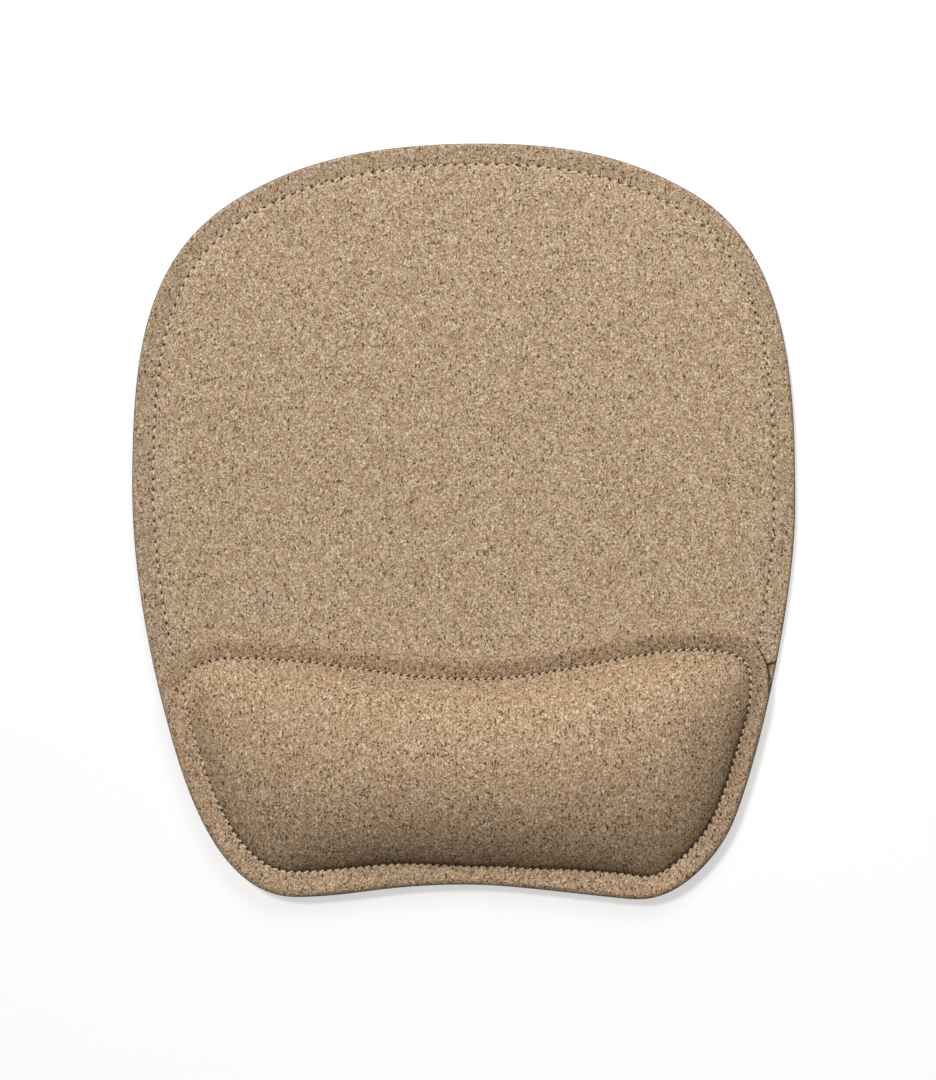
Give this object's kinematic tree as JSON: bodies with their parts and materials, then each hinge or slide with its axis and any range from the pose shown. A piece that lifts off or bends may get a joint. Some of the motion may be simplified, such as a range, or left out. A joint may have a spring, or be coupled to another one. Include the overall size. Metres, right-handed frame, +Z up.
{
  "type": "mouse pad",
  "caption": "Cork-covered mouse pad with a padded wrist rest along its front, on a non-slip rubber base.",
  "frame": {"origin": "on the desk, under the middle of the pad's outline box", "axes": "+Z up, +Y away from the user along the pad's length, +X to the user's right"},
  "size_m": [0.2, 0.228, 0.024],
  "materials": {
    "base_rubber": "matte",
    "pad_foam": "matte",
    "cork_cloth": "matte",
    "thread": "matte",
    "adhesive": "satin",
    "backing_cloth": "matte",
    "wrist_foam": "matte"
  },
  "bodies": {
    "root": {"base_sheet": "base_rubber", "pad_foam_core": "pad_foam", "pad_cork_cover": "cork_cloth", "pad_needle_thread": "thread", "pad_bobbin_thread": "thread", "wrist_adhesive_sheet": "adhesive", "wrist_backing_sheet": "backing_cloth", "wrist_foam_core": "wrist_foam", "wrist_cork_cover": "cork_cloth", "wrist_needle_thread": "thread", "wrist_bobbin_thread": "thread"}
  },
  "joints": []
}
